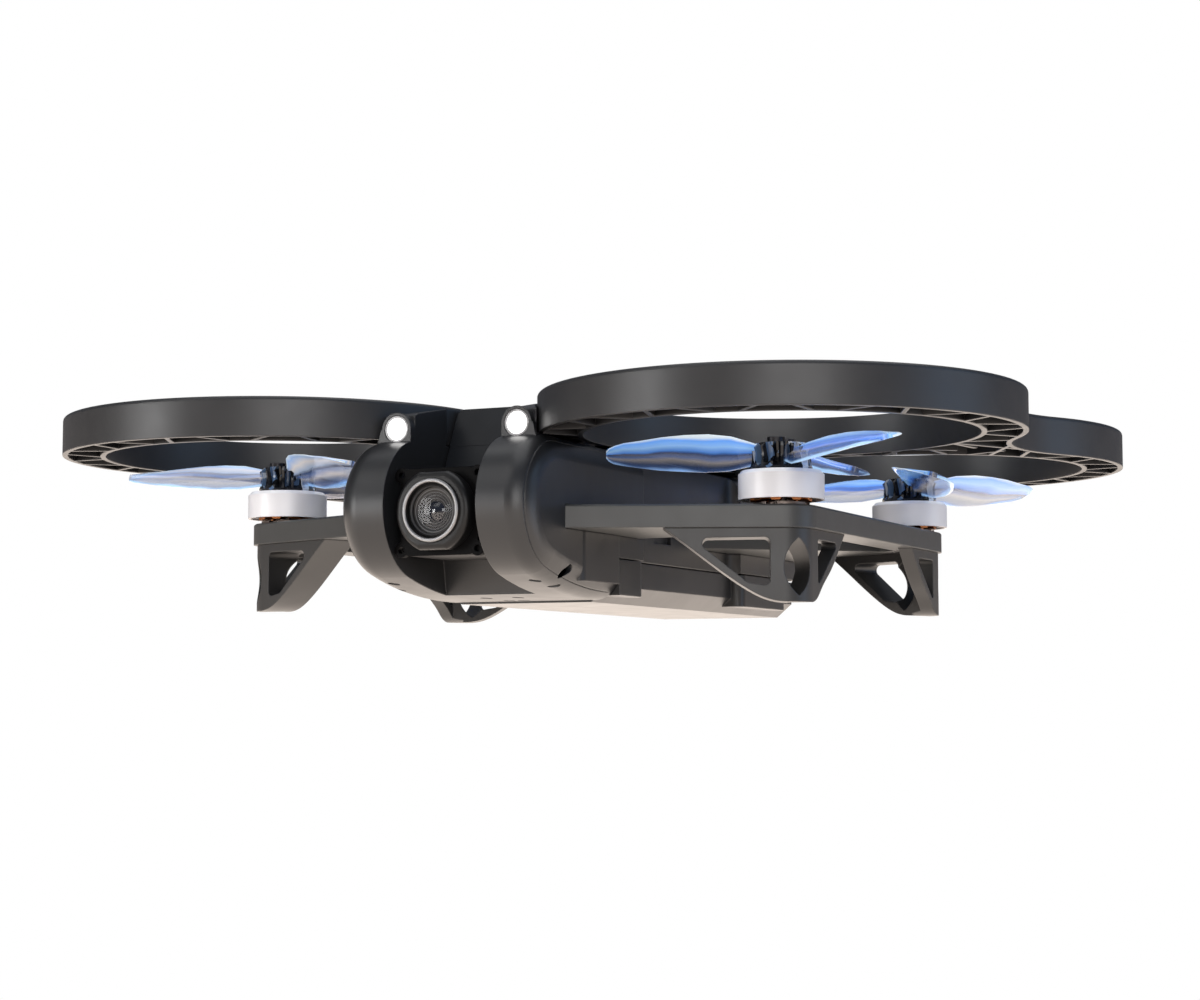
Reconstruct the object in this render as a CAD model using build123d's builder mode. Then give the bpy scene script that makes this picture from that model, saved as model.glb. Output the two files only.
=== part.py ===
from build123d import *
from math import asin, cos, degrees, radians, sin, tan
import os

os.makedirs("parts", exist_ok=True)

# FPV racing drone with ring-shaped prop guards. Nose towards -Y, right side towards +X, +Z up.
# All sizes in millimetres. The origin is on the ground, under the centre of the airframe.

# ---- driving dimensions ------------------------------------------------------------------

motor_x = 62.8  # motor axes, left and right of the centre line
motor_y = 45.7  # motor axes, ahead of and behind the centre
corners = {
    "front_right": (1, -1),
    "front_left": (-1, -1),
    "rear_right": (1, 1),
    "rear_left": (-1, 1),
}
motor_spots = [(side * motor_x, end * motor_y) for side, end in corners.values()]

# prop guards
guard_bottom = 36.1
guard_top = 44.9
guard_outer_r = 52.6
guard_inner_r = 42.7
guard_wall = 1.2
guard_blend_r = 35.0  # where the front and rear rings run into each other
guard_gap_r = guard_outer_r + 0.5  # what stands between the rings keeps outside this radius
guard_mid_r = (guard_outer_r + guard_inner_r) / 2

# arm frames
arm_bottom = 15.7
arm_top = 20.7
arm_thick = arm_top - arm_bottom
arm_pad_r = 7.9  # rounded corner round each motor
arm_sweep = radians(22.5)  # sweep of the front and rear edges

# landing legs
leg_outer_r = 7.0  # the leg stands a little inside the arm's edge
leg_thread = 1.9  # depth of the tapped holes in the top of a leg
leg_arm_depth = 8.5  # thickness of the wall under the arm
leg_side_depth = 3.4  # thickness of the wall under the side bar

# fuselage
body_half = 23.3
waist_half = 20.6
waist_end = 30.0  # the waist runs from -waist_end to +waist_end along Y
shell = 1.6
block_width = 6.0  # blocks on the flanks, under the arm roots
block_x = body_half - 2.7
block_bottom = 4.8
block_front = -63.0
shoulder_z = 35.6
seam_z = 10.7  # the battery hangs below this seam
belly_z = 1.4
bay_front = -44.0
tail_y = 74.0
nose_y = -73.2  # centre of the round nose
nose_z = 20.3
nose_r = shoulder_z - nose_z
nose_end_slope = radians(16.3)  # where the round nose becomes the belly
slot_half = 11.1  # half width of the camera slot between the cheeks
spine_top = 44.4
spine_half = 13.5
roof_z = shoulder_z - shell

# headlights
light_x = 14.7
light_z = 38.0
light_y = -76.9
light_r = 3.6
light_bore_r = 2.9
light_bore_depth = 3.6

# camera
tilt_y = -73.0
tilt_z = 19.0
pivot_r = 1.4
pivot_hole_r = 1.46
lens_front = -88.0
camera_half = 9.3
camera_back = -64.0
camera_face = -82.5

# motors, 14 mm stator
bell_r = 9.3
bell_wall = 0.6
bell_bottom = 22.0
bell_top = 28.3
base_top = 21.4
stator_r = 7.4
shaft_r = 0.75
bearing_r = 2.0
motor_hole_r = 4.5  # circle of the four mounting screws
prop_hole_r = 2.5  # circle of the two propeller screws

# propellers
prop_tip_r = 37.8
prop_hub_r = 6.8
prop_hub_top = 34.2
blade_count = 3
blade_z = 31.8
blade_thick = 1.1

# M2 fasteners
screw_r = 1.0
tapped_r = 1.02
clear_r = 1.15
head_r = 1.9
sink_angle = 90
sink_depth = head_r - clear_r
head_high = 1.2

# screw posts inside the fuselage, also under the guard bosses
post_x = 15.2
post_r = 2.9
post_ys = (-motor_y, 18.0, motor_y)
guard_post_spots = [(side * post_x, end * motor_y) for side, end in corners.values()]
chassis_top = arm_top + 1.6

# battery
pack_top = 14.9
pack_half = 18.6
pack_front = bay_front + 0.3
pack_tail = 75.5
pack_seam = seam_z - 0.3
pack_lid_z = 13.7

up = (Align.CENTER, Align.CENTER, Align.MIN)


def front_edge_y(x):
    """Y of the swept front edge of an arm at this X."""
    tangent_x = motor_x + arm_pad_r * sin(arm_sweep)
    tangent_y = -motor_y - arm_pad_r * cos(arm_sweep)
    return tangent_y - (tangent_x - x) * tan(arm_sweep)


def reflected(master, side, end):
    """A front-right piece reflected to another corner of the airframe."""
    with BuildPart() as piece:
        add(master.part)
        if side < 0:
            mirror(about=Plane.YZ, mode=Mode.REPLACE)
        if end > 0:
            mirror(about=Plane.XZ, mode=Mode.REPLACE)
    return piece


def side_profile(inset):
    """Side view of the fuselage, drawn this far inside its outer skin."""
    r = nose_r - inset
    nose_end = (nose_y - r * sin(nose_end_slope), nose_z - r * cos(nose_end_slope))
    belly_end = (bay_front - inset, belly_z + inset)
    with BuildSketch(Plane.YZ) as profile:
        with BuildLine():
            ThreePointArc((nose_y, nose_z + r), (nose_y - r, nose_z), nose_end)
            Spline(nose_end, belly_end, tangents=((cos(nose_end_slope), -sin(nose_end_slope)), (1, 0)))
            Polyline(
                belly_end,
                (bay_front - inset, seam_z + inset),
                (tail_y - inset, seam_z + inset),
                (tail_y - inset, shoulder_z - inset),
                (nose_y, nose_z + r),
            )
        make_face()
        fillet(profile.vertices().sort_by(Axis.X)[-2:].sort_by(Axis.Y)[-1], radius=6 - inset)
    return profile


# ---- arm frames: front arm, side bar and rear arm in one plate -----------------------------

root_end = 0.5  # the two frames almost meet on the centre line
bend = radians(45) - arm_sweep / 2
front_tangent = (motor_x + arm_pad_r * sin(arm_sweep), -motor_y - arm_pad_r * cos(arm_sweep))
rear_tangent = (front_tangent[0], -front_tangent[1])
corner_mid = (motor_x + arm_pad_r * cos(bend), motor_y + arm_pad_r * sin(bend))

with BuildSketch() as arm_opening:
    with BuildLine():
        Polyline((-5, -29), (62.3, -37), (62.3, 36.3), (58, 36.3), (21, 5), (-5, 5), close=True)
    make_face()
    fillet(arm_opening.vertices().filter_by(lambda corner: corner.X > 60), radius=3.5)

with BuildSketch() as arm_outline:
    with BuildLine():
        Line((root_end, front_edge_y(root_end)), front_tangent)
        ThreePointArc(front_tangent, (corner_mid[0], -corner_mid[1]), (motor_x + arm_pad_r, -motor_y))
        Line((motor_x + arm_pad_r, -motor_y), (motor_x + arm_pad_r, motor_y))
        ThreePointArc((motor_x + arm_pad_r, motor_y), corner_mid, rear_tangent)
        Line(rear_tangent, (root_end, -front_edge_y(root_end)))
        Line((root_end, -front_edge_y(root_end)), (root_end, front_edge_y(root_end)))
    make_face()
    add(arm_opening.sketch, mode=Mode.SUBTRACT)
    # inside the fuselage only two tongues are left
    with Locations((9, -80), (9, 85)):
        Rectangle(20.4, 50, mode=Mode.SUBTRACT)
    with Locations((9, -11.5)):
        Rectangle(19, 39, mode=Mode.SUBTRACT)

arm_screw_spots = [(post_x, y) for y in post_ys]
leg_inward = (-cos(arm_sweep), -sin(arm_sweep))  # along the front wall of a leg, towards the body
leg_screw_s = 18.6
leg_screw_front = (
    motor_x + leg_screw_s * leg_inward[0] + 2.75 * sin(arm_sweep),
    -motor_y + leg_screw_s * leg_inward[1] - 2.75 * cos(arm_sweep),
)
leg_screw_side = (motor_x + leg_outer_r - leg_side_depth / 2, -motor_y + 13.5)
leg_screw_spots = [leg_screw_front, leg_screw_side]
underside = Plane(origin=(0, 0, arm_bottom), x_dir=(1, 0, 0), z_dir=(0, 0, -1))

with BuildPart() as arm_frame_right:
    with BuildSketch(Plane.XY.offset(arm_bottom)):
        add(arm_outline.sketch)
    extrude(amount=arm_thick)
    chamfer(arm_frame_right.faces().sort_by(Axis.Z)[-1].outer_wire().edges(), length=0.4)
    # motor screws come from below
    with Locations(underside):
        with Locations((motor_x, motor_y), (motor_x, -motor_y)):
            with PolarLocations(motor_hole_r, 4, start_angle=45):
                CounterSinkHole(clear_r, head_r, counter_sink_angle=sink_angle)
        with Locations(*[(x, -y) for x, y in arm_screw_spots]):
            CounterSinkHole(clear_r, head_r, counter_sink_angle=sink_angle)
    # leg screws come from above
    with Locations(Plane.XY.offset(arm_top)):
        with Locations(*leg_screw_spots, *[(x, -y) for x, y in leg_screw_spots]):
            CounterSinkHole(clear_r, head_r, counter_sink_angle=sink_angle)
arm_frame_right.part.label = "arm_frame_right"
export_step(arm_frame_right.part, "parts/arm_frame_right.step")

with BuildPart() as arm_frame_left:
    mirror(arm_frame_right.part, about=Plane.YZ)
arm_frame_left.part.label = "arm_frame_left"
export_step(arm_frame_left.part, "parts/arm_frame_left.step")


# ---- landing legs: a wall under the arm, a rounded corner and a wall under the side bar --------

leg_front_plane = Plane(
    origin=(motor_x, -motor_y, 0), x_dir=(*leg_inward, 0), z_dir=(-sin(arm_sweep), cos(arm_sweep), 0)
)
leg_side_plane = Plane(origin=(motor_x + 1, -motor_y, 0), x_dir=(0, 1, 0), z_dir=(1, 0, 0))
corner_turn = radians(38)
leg_corner_plane = Plane(
    origin=(motor_x, -motor_y, 0),
    x_dir=(sin(corner_turn), cos(corner_turn), 0),
    z_dir=(cos(corner_turn), -sin(corner_turn), 0),
)
wall_inset = leg_outer_r - leg_arm_depth  # inner face of the arm wall, measured from the motor axis
elbow_x = motor_x + leg_outer_r - leg_side_depth
elbow_y = -motor_y + ((elbow_x - motor_x) * sin(arm_sweep) - wall_inset) / cos(arm_sweep)

with BuildSketch() as leg_plan:
    with Locations((motor_x, -motor_y)):
        Circle(leg_outer_r)
    with Locations(Location((motor_x, -motor_y, 0), (0, 0, 180 + degrees(arm_sweep)))):
        with Locations((13, (leg_outer_r + wall_inset) / 2)):
            Rectangle(26, leg_arm_depth)
    with Locations((motor_x + leg_outer_r - leg_side_depth / 2, -motor_y + 11)):
        Rectangle(leg_side_depth, 22)
    with BuildLine():
        Polyline(
            (elbow_x, elbow_y),
            (elbow_x, elbow_y + 50),
            (elbow_x - 60, elbow_y + 50),
            (elbow_x + 60 * leg_inward[0], elbow_y + 60 * leg_inward[1]),
            close=True,
        )
    make_face(mode=Mode.SUBTRACT)

with BuildPart() as leg_master:
    add(leg_plan.sketch)
    extrude(amount=arm_bottom)
    # curved lower edge of the arm wall
    with BuildSketch(leg_front_plane):
        with BuildLine():
            Spline((-1, 0), (7.3, 2.6), (13.6, 6.9), (25.4, arm_bottom), tangents=((1, 0), (1, 0.7)))
            Polyline((25.4, arm_bottom), (32, arm_bottom), (32, -2), (-1, -2), (-1, 0))
        make_face()
    extrude(amount=12, both=True, mode=Mode.SUBTRACT)
    # curved lower edge of the side wall
    with BuildSketch(leg_side_plane):
        with BuildLine():
            Spline((0, 0), (6, 3.4), (11, 6.8), (21, arm_bottom), tangents=((1, 0.1), (1, 0.9)))
            Polyline((21, arm_bottom), (27, arm_bottom), (27, -2), (0, -2), (0, 0))
        make_face()
    extrude(amount=12, mode=Mode.SUBTRACT)
    # window in the arm wall
    with BuildSketch(leg_front_plane) as arm_window:
        with BuildLine():
            Polyline((2.6, 13.7), (19.4, 13.5), (7.4, 4.0), (2.6, 3.2), close=True)
        make_face()
        fillet(arm_window.vertices(), radius=1.3)
    extrude(amount=14, both=True, mode=Mode.SUBTRACT)
    # window in the side wall
    with BuildSketch(leg_side_plane) as side_window:
        with BuildLine():
            Polyline((3.4, 13.5), (16.8, 13.5), (3.4, 3.4), close=True)
        make_face()
        fillet(side_window.vertices(), radius=0.8)
    extrude(amount=12, mode=Mode.SUBTRACT)
    # leaf-shaped window round the corner
    with BuildSketch(leg_corner_plane):
        with BuildLine():
            ThreePointArc((0, 1.3), (3.2, 7.2), (0, 13.6))
            ThreePointArc((0, 13.6), (-3.2, 7.2), (0, 1.3))
        make_face()
    extrude(amount=12, both=True, mode=Mode.SUBTRACT)
    with Locations(Plane.XY.offset(arm_bottom)):
        with Locations(*leg_screw_spots):
            Hole(tapped_r, depth=leg_thread)

for corner, (side, end) in corners.items():
    landing_leg = reflected(leg_master, side, end)
    landing_leg.part.label = f"landing_leg_{corner}"
    export_step(landing_leg.part, f"parts/landing_leg_{corner}.step")


# ---- prop guards: twin rings with a channel section, open at the bottom -------------------------

rib_count = 14
rib_slant = 28
rib_thick = 1.0
blend_rib_x = 37.0  # ribs that fill the blend between two rings, from the motor axes


def guard_region(plane, inset, hollow=True):
    """The twin-ring outline seen from above, with both walls moved into the section by inset."""
    with BuildSketch(plane) as region:
        with Locations((motor_x, motor_y), (motor_x, -motor_y)):
            Circle(guard_outer_r - inset)
        fillet(region.vertices(), radius=guard_blend_r + inset)
        if hollow:
            with Locations((motor_x, motor_y), (motor_x, -motor_y)):
                Circle(guard_inner_r + inset, mode=Mode.SUBTRACT)
    return region


guard_base = Plane.XY.offset(guard_bottom)
guard_plan = guard_region(guard_base, 0, hollow=False)
channel_plan = guard_region(guard_base, guard_wall)
wall_middle = guard_region(guard_base, guard_wall / 2)

# slanted ribs, which run into the middle of the walls
with BuildSketch(guard_base) as rib_plan:
    with Locations((motor_x, motor_y), (motor_x, -motor_y)):
        with PolarLocations(guard_mid_r, rib_count):
            Rectangle(12, rib_thick, rotation=rib_slant)
        with PolarLocations(guard_mid_r, rib_count, start_angle=180 / rib_count):
            Rectangle(12, rib_thick, rotation=-rib_slant)
    with Locations((motor_x + blend_rib_x, 0), (motor_x - blend_rib_x, 0)):
        Rectangle(40, rib_thick, rotation=90 - rib_slant)
        Rectangle(40, rib_thick, rotation=90 + rib_slant)
    add(wall_middle.sketch_local, mode=Mode.INTERSECT)

with BuildPart() as prop_guard_right:
    add(guard_plan.sketch)
    extrude(amount=guard_top - guard_bottom)
    fillet(prop_guard_right.faces().sort_by(Axis.Z)[-1].outer_wire().edges(), radius=0.9)
    with Locations((motor_x, motor_y), (motor_x, -motor_y)):
        Cylinder(guard_inner_r, 200, mode=Mode.SUBTRACT)
    add(channel_plan.sketch)
    extrude(amount=guard_top - guard_bottom - guard_wall, mode=Mode.SUBTRACT)
    add(rib_plan.sketch)
    extrude(amount=guard_top - guard_bottom - guard_wall / 2)
    # bosses that stand on the fuselage shoulder
    with Locations((post_x, motor_y, shoulder_z), (post_x, -motor_y, shoulder_z)):
        Cylinder(post_r, guard_top - shoulder_z - 1, align=up)
    with Locations(Plane.XY.offset(guard_top)):
        with Locations((post_x, motor_y), (post_x, -motor_y)):
            CounterBoreHole(clear_r, head_r + 0.2, head_high + 0.2, depth=20)
prop_guard_right.part.label = "prop_guard_right"
export_step(prop_guard_right.part, "parts/prop_guard_right.step")

with BuildPart() as prop_guard_left:
    mirror(prop_guard_right.part, about=Plane.YZ)
prop_guard_left.part.label = "prop_guard_left"
export_step(prop_guard_left.part, "parts/prop_guard_left.step")


# ---- fuselage shell: nose cheeks, sides, roof and the bay for the battery ------------------------

with BuildSketch(Plane.YZ) as slot_side:
    with BuildLine():
        Polyline(
            (-100, -5),
            (-60.7, -5),
            (-60.7, 2.6),
            (-62.2, 10.6),
            (-57.5, 10.6),
            (-57.5, 30.4),
            (-60.6, 30.4),
            (-58.1, shoulder_z),
            (-58.1, 60),
            (-100, 60),
            close=True,
        )
    make_face()

with BuildSketch(Plane.YZ) as slot_wall_side:
    add(slot_side.sketch_local)
    offset(amount=shell, kind=Kind.INTERSECTION)

with BuildSketch(Plane.XY.offset(seam_z - 5)) as waist_plan:
    with Locations((waist_half + 10, 0), (-waist_half - 10, 0)):
        RectangleRounded(20, 2 * waist_end, radius=3)

with BuildPart() as cavity:
    extrude(side_profile(shell).sketch, amount=body_half - shell, both=True)
    extrude(slot_wall_side.sketch, amount=slot_half + shell, both=True, mode=Mode.SUBTRACT)
    with Locations((waist_half + 10 - shell, 0), (-waist_half - 10 + shell, 0)):
        Box(20, 2 * (waist_end + shell), 100, mode=Mode.SUBTRACT)
    # the bay is open underneath and at the tail, where the battery slides in
    with Locations((0, (bay_front + 0.1 + tail_y + 2) / 2, 8)):
        Box(2 * (waist_half - shell), tail_y + 2 - bay_front - 0.1, pack_top + 0.3 - 8, align=up)

drain_spots = [(17.3, -73.0), (19.0, -67.5), (4.0, -55.0), (1.8, -48.0)]
drain_reach = 8.0
neck_drop = 4.5
flank_slot = (-69.0, 6.6)
port_y = -13.0
port_z = 17.0

with BuildPart() as fuselage_shell:
    extrude(side_profile(0).sketch, amount=body_half, both=True)
    flank_edges = fuselage_shell.edges().filter_by(lambda edge: abs(edge.center().X) > body_half - 0.1)
    fillet(flank_edges.filter_by(lambda edge: edge.center().Z > 25 or edge.center().Y < -50), radius=5.5)
    # blocks under the front arms
    with BuildSketch(Plane.XY.offset(block_bottom)):
        with Locations((0, (block_front + bay_front) / 2)):
            with GridLocations(2 * block_x, 1, 2, 1):
                RectangleRounded(block_width, bay_front - block_front, 2)
        with Locations((0, bay_front - 2)):
            with GridLocations(2 * block_x, 1, 2, 1):
                Rectangle(block_width, 4)
    extrude(amount=arm_bottom - block_bottom)
    # headlight housings on top of the cheeks
    with Locations(Plane(origin=(0, light_y, light_z), x_dir=(1, 0, 0), z_dir=(0, 1, 0))):
        with Locations((light_x, 0), (-light_x, 0)):
            Cylinder(light_r, 12, align=up)
    # necks that flare from the housings into the cheeks
    with BuildSketch(Plane(origin=(0, light_y, light_z), x_dir=(1, 0, 0), z_dir=(0, 1, 0))):
        with Locations((light_x, 0), (-light_x, 0)):
            with Locations((0, neck_drop / 2)):
                Trapezoid(2 * light_r + 3, neck_drop, 75, rotation=180)
    extrude(amount=10)
    # fins that carry the cheeks up to the spine
    with BuildSketch(Plane.YZ):
        with BuildLine():
            Polyline((-75, 34), (-75, 41), (-73.6, 41.6), (-61, spine_top - 0.4), (-61, 34), close=True)
        make_face()
    extrude(amount=19, both=True)
    with Locations((motor_x, motor_y), (motor_x, -motor_y), (-motor_x, motor_y), (-motor_x, -motor_y)):
        with Locations((0, 0, shoulder_z)):
            Cylinder(guard_gap_r, 30, align=up, mode=Mode.SUBTRACT)
    extrude(slot_side.sketch, amount=slot_half, both=True, mode=Mode.SUBTRACT)
    with Locations(Plane(origin=(0, light_y, light_z), x_dir=(1, 0, 0), z_dir=(0, 1, 0))):
        with Locations((light_x, 0), (-light_x, 0)):
            Cylinder(light_bore_r, light_bore_depth, align=up, mode=Mode.SUBTRACT)
    # narrow waist between the arms
    extrude(waist_plan.sketch, amount=60, mode=Mode.SUBTRACT)
    add(cavity.part, mode=Mode.SUBTRACT)
    # slots for the arm frames
    for side in (1, -1):
        with BuildSketch(Plane.XY.offset(arm_bottom - 0.1)):
            with BuildLine():
                Polyline(
                    (side * 19, front_edge_y(19) - 0.15),
                    (side * 25, front_edge_y(25) - 0.15),
                    (side * 25, -29.4),
                    (side * 19, -28.4),
                    close=True,
                )
            make_face()
            with BuildLine():
                Polyline(
                    (side * 19, -front_edge_y(19) + 0.15),
                    (side * 25, -front_edge_y(25) + 0.15),
                    (side * 25, 6.5),
                    (side * 19, 2.5),
                    close=True,
                )
            make_face()
        extrude(amount=arm_thick + 0.2, mode=Mode.SUBTRACT)
    # screw posts
    with Locations(*[(side * post_x, y, chassis_top) for side in (1, -1) for y in post_ys]):
        Cylinder(post_r, roof_z - chassis_top + 0.2, align=up)
        Cylinder(tapped_r, 6, align=up, mode=Mode.SUBTRACT)
    with Locations(Plane.XY.offset(shoulder_z)):
        with Locations(*guard_post_spots):
            Hole(tapped_r, depth=5.2)
    # drain slots in the belly and the cheeks
    with BuildSketch(Plane.XY):
        with Locations(*[(side * x, y) for side in (1, -1) for x, y in drain_spots]):
            SlotOverall(2.8, 1.4, rotation=30)
    extrude(amount=drain_reach, mode=Mode.SUBTRACT)
    # an air slot low on each flank, and the port in the right side of the waist
    for side in (1, -1):
        with BuildSketch(Plane.YZ.offset(side * (body_half - 4))):
            with Locations(flank_slot):
                SlotOverall(4.2, 1.9, rotation=30)
        extrude(amount=side * 6, mode=Mode.SUBTRACT)
    with Locations((waist_half, port_y, port_z)):
        Box(2.2, 10, 2.6, mode=Mode.SUBTRACT)
    # camera pivots in the cheek walls
    with Locations(Plane(origin=(0, tilt_y, tilt_z), z_dir=(1, 0, 0))):
        Cylinder(pivot_hole_r, 2 * (slot_half + 3), mode=Mode.SUBTRACT)
fuselage_shell.part.label = "fuselage_shell"
export_step(fuselage_shell.part, "parts/fuselage_shell.step")


# ---- top_cover: the spine between the rings and the sloped panel behind the camera ---------------

cover_wall = 1.4
button_y = 30.0
button_r = 3.0


def cover_side(inset):
    """Side view of the spine, drawn this far inside its outer skin."""
    with BuildSketch(Plane.YZ) as profile:
        with BuildLine():
            Polyline(
                (-59.9 + inset * 1.1, shoulder_z),
                (-55.9 + inset * 1.1, spine_top - inset),
                (58 - inset / 2, spine_top - inset),
                (66 - inset, shoulder_z + 2.5),
                (66 - inset, shoulder_z),
                close=True,
            )
        make_face()
    return profile


with BuildSketch(Plane.YZ) as apron_side:
    with BuildLine():
        Polyline((-62.2, 30.7), (-60.9, 30.7), (-57.5, 38), (-58.7, 38), close=True)
    make_face()


def cover_plan(inset):
    """Seen from above, the spine is pinched between the rings of the guards."""
    with BuildSketch(Plane.XY.offset(shoulder_z - 10)) as plan:
        with Locations((0, 2)):
            Rectangle(2 * (spine_half - inset), 140)
        with Locations(*motor_spots):
            Circle(guard_gap_r + inset, mode=Mode.SUBTRACT)
    return plan


with BuildPart() as cover_hollow:
    extrude(cover_side(cover_wall).sketch, amount=20, both=True)
    extrude(cover_plan(cover_wall).sketch, amount=30, mode=Mode.INTERSECT)

with BuildPart() as top_cover:
    extrude(cover_side(0).sketch, amount=20, both=True)
    extrude(cover_plan(0).sketch, amount=30, mode=Mode.INTERSECT)
    with Locations((0, -70, shoulder_z)):
        with GridLocations(2 * (slot_half + 3.8), 1, 2, 1):
            Box(8, 26, 20, align=up, mode=Mode.SUBTRACT)
    roof_edges = top_cover.faces().sort_by(Axis.Z)[-1].edges()
    fillet(roof_edges.filter_by(lambda edge: edge.center().Y > -50), radius=1.5)
    extrude(apron_side.sketch, amount=slot_half - 0.3, both=True)
    add(cover_hollow.part, mode=Mode.SUBTRACT)
    with Locations((0, button_y, spine_top - 5)):
        Cylinder(button_r + 0.15, 10, align=up, mode=Mode.SUBTRACT)
top_cover.part.label = "top_cover"
export_step(top_cover.part, "parts/top_cover.step")

with BuildPart() as power_button:
    with BuildSketch(Plane.XY.offset(spine_top - 3.4)):
        Circle(button_r)
    extrude(amount=3.8)
    fillet(power_button.edges().sort_by(Axis.Z)[-1], radius=0.4)
    with BuildSketch(Plane.XY.offset(spine_top - 3.4)):
        Circle(button_r + 0.8)
    extrude(amount=0.8)
    with Locations((0, 0, spine_top - 5.6)):
        Cylinder(0.9, 3, align=up)
power_button.part.position = (0, button_y, 0)
power_button.part.label = "power_button"
export_step(power_button.part, "parts/power_button.step")


# ---- chassis: plate and electronics inside the fuselage -------------------------------------------

stack_y = -4.0
controller_z = 26.0
flight_z = 30.2
board_side = 32.0
board_thick = 1.2
damper_r = 2.4

with BuildPart() as chassis_plate:
    with BuildSketch(Plane.XY.offset(arm_top)) as chassis_sketch:
        with Locations((0, 3.5)):
            Rectangle(2 * 18.4, 114)
        fillet(chassis_sketch.vertices(), radius=4)
        with Locations((0, -38), (0, 46)):
            RectangleRounded(16, 20, 4, mode=Mode.SUBTRACT)
        with Locations((0, -4)):
            RectangleRounded(18, 26, 4, mode=Mode.SUBTRACT)
    extrude(amount=chassis_top - arm_top)
    with Locations(Plane.XY.offset(chassis_top)):
        with Locations(*[(side * post_x, y) for side in (1, -1) for y in post_ys]):
            Hole(clear_r)
        with Locations((0, stack_y)):
            with GridLocations(25.5, 25.5, 2, 2):
                Hole(tapped_r)
chassis_plate.part.label = "chassis_plate"
export_step(chassis_plate.part, "parts/chassis_plate.step")


def circuit_board(z):
    """A square board on the four dampers."""
    with BuildSketch(Plane.XY.offset(z)) as outline:
        with Locations((0, stack_y)):
            RectangleRounded(board_side, board_side, 3)
            with GridLocations(25.5, 25.5, 2, 2):
                Circle(1.6, mode=Mode.SUBTRACT)
    return outline


with BuildPart() as motor_controller:
    extrude(circuit_board(controller_z).sketch, amount=board_thick)
    with Locations((0, stack_y, controller_z + board_thick)):
        with GridLocations(7.6, 20, 3, 2):
            Box(4.6, 4.6, 1, align=up)
        Cylinder(4, 1.6, align=up)
motor_controller.part.label = "motor_controller"
export_step(motor_controller.part, "parts/motor_controller.step")

with BuildPart() as flight_controller:
    extrude(circuit_board(flight_z).sketch, amount=board_thick)
    with Locations((0, stack_y, flight_z + board_thick)):
        Box(9, 9, 1.2, align=up)
        with Locations((11, 0)):
            Box(3, 4, 0.9, align=up)
        with Locations((-14.2, 0)):
            Box(5.6, 7.4, 2.0, align=up)
        with Locations((0, 12.5)):
            Box(12, 4, 1.8, align=up)
flight_controller.part.label = "flight_controller"
export_step(flight_controller.part, "parts/flight_controller.step")

with BuildPart() as stack_dampers:
    with Locations((0, stack_y, 0)):
        with GridLocations(25.5, 25.5, 2, 2):
            with Locations((0, 0, chassis_top)):
                Cylinder(damper_r, controller_z - chassis_top, align=up)
            with Locations((0, 0, chassis_top)):
                Cylinder(1.55, flight_z + board_thick - chassis_top, align=up)
            with Locations((0, 0, controller_z + board_thick)):
                Cylinder(damper_r, flight_z - controller_z - board_thick, align=up)
stack_dampers.part.label = "stack_dampers"
export_step(stack_dampers.part, "parts/stack_dampers.step")

with BuildPart() as video_transmitter:
    with Locations((0, 42, chassis_top)):
        Box(22, 26, 5.5, align=up)
    fillet(video_transmitter.edges().filter_by(Axis.Z), radius=1.5)
    # cooling fins
    with Locations((0, 42, chassis_top + 3.5)):
        with GridLocations(2.6, 1, 8, 1):
            Box(1.2, 30, 3, align=up, mode=Mode.SUBTRACT)
video_transmitter.part.label = "video_transmitter"
export_step(video_transmitter.part, "parts/video_transmitter.step")

with BuildPart() as antenna:
    with Locations((0, 2, shoulder_z + 1)):
        Box(8, 24, 1, align=up)
    with Locations((0, 2, shoulder_z + 2)):
        Cylinder(3, 2, align=up)
    with Locations((0, 2, shoulder_z + 3.6)):
        Cylinder(3.8, 1.2, align=up)
antenna.part.label = "antenna"
export_step(antenna.part, "parts/antenna.step")


# ---- headlights ----------------------------------------------------------------------------------

light_plane = Plane(origin=(0, light_y, light_z), x_dir=(1, 0, 0), z_dir=(0, 1, 0))

with BuildPart() as headlight_bezels:
    with Locations(light_plane):
        with Locations((light_x, 0, 0.1), (-light_x, 0, 0.1)):
            Cylinder(light_bore_r - 0.02, 2.0, align=up)
            Cylinder(2.45, 2.0, align=up, mode=Mode.SUBTRACT)
headlight_bezels.part.label = "headlight_bezels"
export_step(headlight_bezels.part, "parts/headlight_bezels.step")

with BuildPart() as headlight_lenses:
    with Locations(light_plane):
        with Locations((light_x, 0, 0), (-light_x, 0, 0)):
            Cylinder(2.42, 1.9, align=up)
    chamfer(headlight_lenses.faces().sort_by(Axis.Y)[0:2].edges(), length=0.3)
headlight_lenses.part.label = "headlight_lenses"
export_step(headlight_lenses.part, "parts/headlight_lenses.step")

with BuildPart() as headlight_boards:
    with Locations(light_plane):
        with Locations((light_x, 0, 2.5), (-light_x, 0, 2.5)):
            Cylinder(light_bore_r - 0.02, 0.8, align=up)
        with Locations((light_x, 0, 2.0), (-light_x, 0, 2.0)):
            Box(1.6, 1.6, 0.6, align=up)
headlight_boards.part.label = "headlight_boards"
export_step(headlight_boards.part, "parts/headlight_boards.step")


# ---- camera, tilting about X between the cheeks ----------------------------------------------------

camera_wall = 1.2
barrel_back = -76.0
barrel_r = 8.9
barrel_flat = 8.25
neck_r = 6.9
bracket_thick = 1.4
ear_x = 9.2
ear_z = 8.0


def facing(y):
    """Plane across the camera's axis, looking out of its back, with Y of the plane up."""
    return Plane(origin=(0, y, tilt_z), x_dir=(-1, 0, 0), z_dir=(0, 1, 0))


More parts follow.
